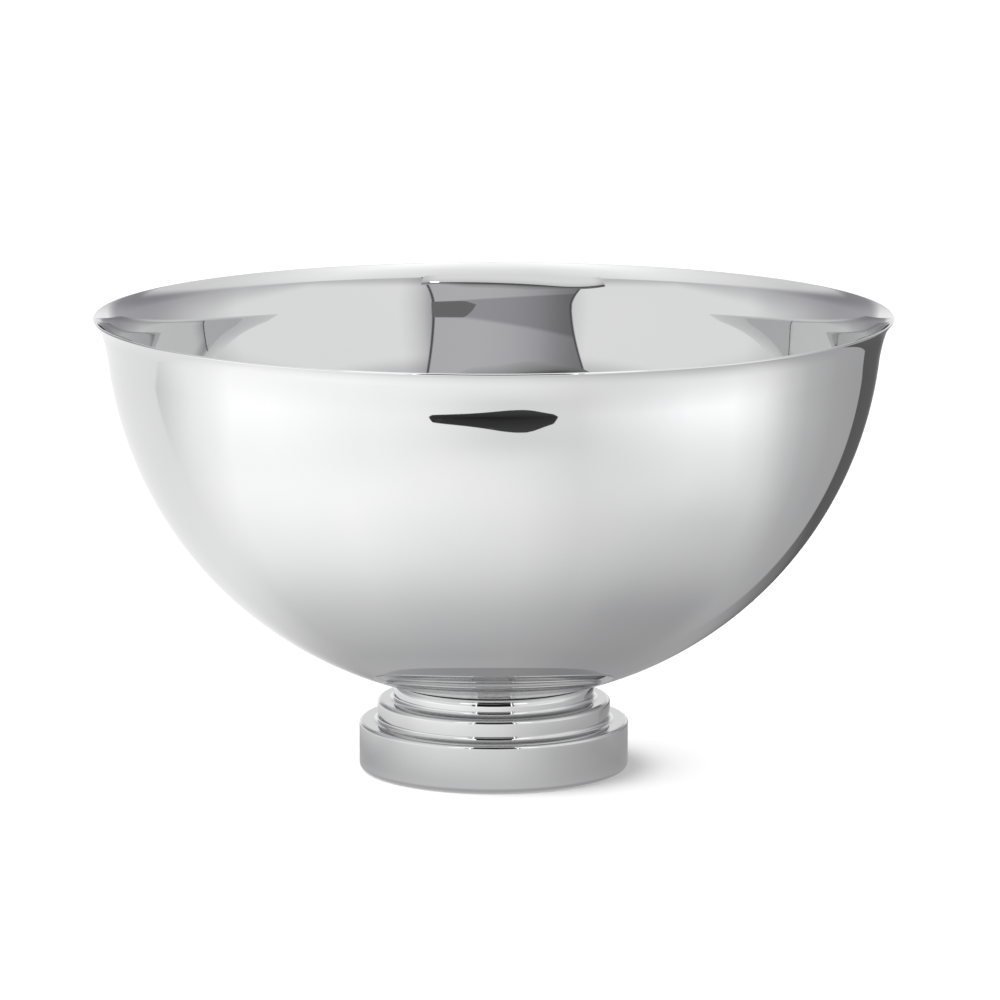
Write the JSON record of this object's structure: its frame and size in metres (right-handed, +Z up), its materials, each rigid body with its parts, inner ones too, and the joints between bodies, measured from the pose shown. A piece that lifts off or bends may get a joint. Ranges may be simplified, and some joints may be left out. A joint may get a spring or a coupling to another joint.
{
  "type": "punch bowl",
  "caption": "Footed punch bowl: a polished steel bowl, part of a ball with a turned-out lip, clamped onto a stepped foot of stacked rings.",
  "frame": {"origin": "centre of the resting face, under the middle of the foot", "axes": "+Z up along the bowl's axis, out of its mouth; X and Y are level, and the bowl is round about Z"},
  "size_m": [0.38, 0.38, 0.2191],
  "materials": {
    "bowl_steel": "polished",
    "ring_steel": "polished",
    "inner_steel": "satin",
    "fastener_steel": "satin",
    "spring_steel": "satin",
    "cover_steel": "satin",
    "gasket_rubber": "matte",
    "pad_rubber": "matte"
  },
  "bodies": {
    "root": {"bowl_shell": "bowl_steel", "top_ring": "ring_steel", "middle_ring": "ring_steel", "base_ring": "ring_steel", "seat_gasket": "gasket_rubber", "mounting_disc": "inner_steel", "centre_stud": "fastener_steel", "clamp_plate": "inner_steel", "flat_washer": "fastener_steel", "spring_washer": "spring_steel", "clamp_nut": "fastener_steel", "cover_pillars": "fastener_steel", "base_cover": "cover_steel", "cover_screws": "fastener_steel", "foot_pad": "pad_rubber"}
  },
  "joints": []
}
